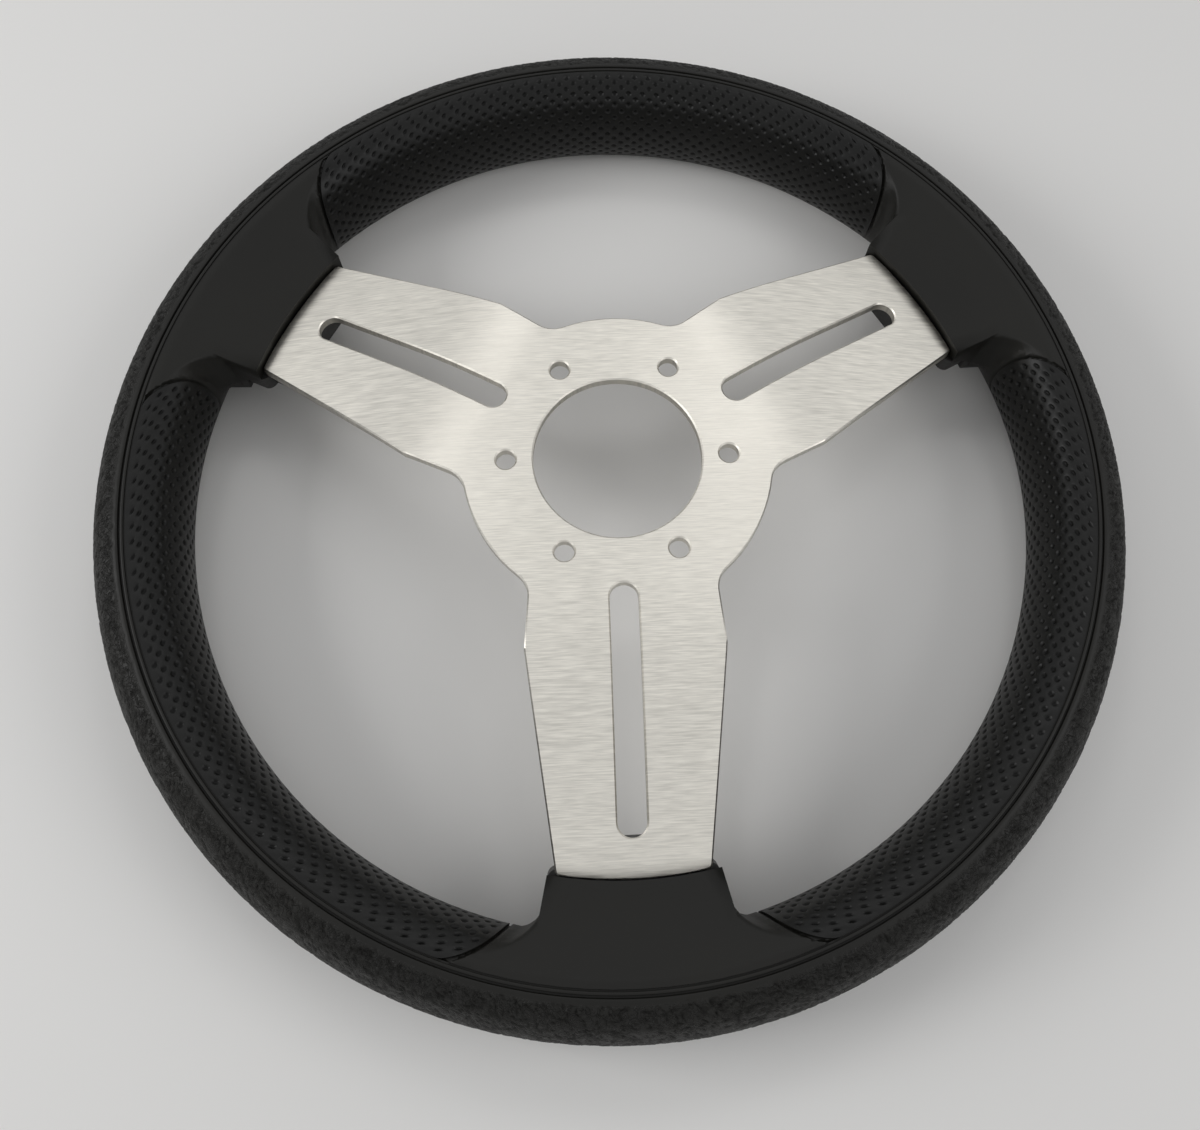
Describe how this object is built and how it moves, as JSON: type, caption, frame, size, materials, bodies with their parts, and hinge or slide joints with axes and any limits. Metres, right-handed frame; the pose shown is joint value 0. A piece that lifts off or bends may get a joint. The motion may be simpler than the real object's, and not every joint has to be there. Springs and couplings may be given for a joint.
{
  "type": "steering wheel",
  "caption": "Dished three-spoke steering wheel: a brushed plate with slotted spokes and a bolt circle, held in a moulded rim with padded spoke ends.",
  "frame": {"origin": "middle of the hub's bolt circle, on the hub's upper face", "axes": "+Z is the steering axis, out of the hub's upper face and away from the rim; the front spoke points along -Y and the right one lies 30 degrees above +X"},
  "size_m": [0.3519, 0.3519, 0.0495],
  "materials": {
    "stainless_plate": "brushed one way",
    "rim_rubber": "satin, grained and dimpled",
    "dark_lug": "satin black",
    "screw_steel": "turned"
  },
  "bodies": {
    "root": {"spoke_plate": "stainless_plate", "rim_moulding": "rim_rubber", "spoke_lug_front": "dark_lug", "spoke_lug_right": "dark_lug", "spoke_lug_left": "dark_lug", "plate_screws": "screw_steel"}
  },
  "joints": []
}
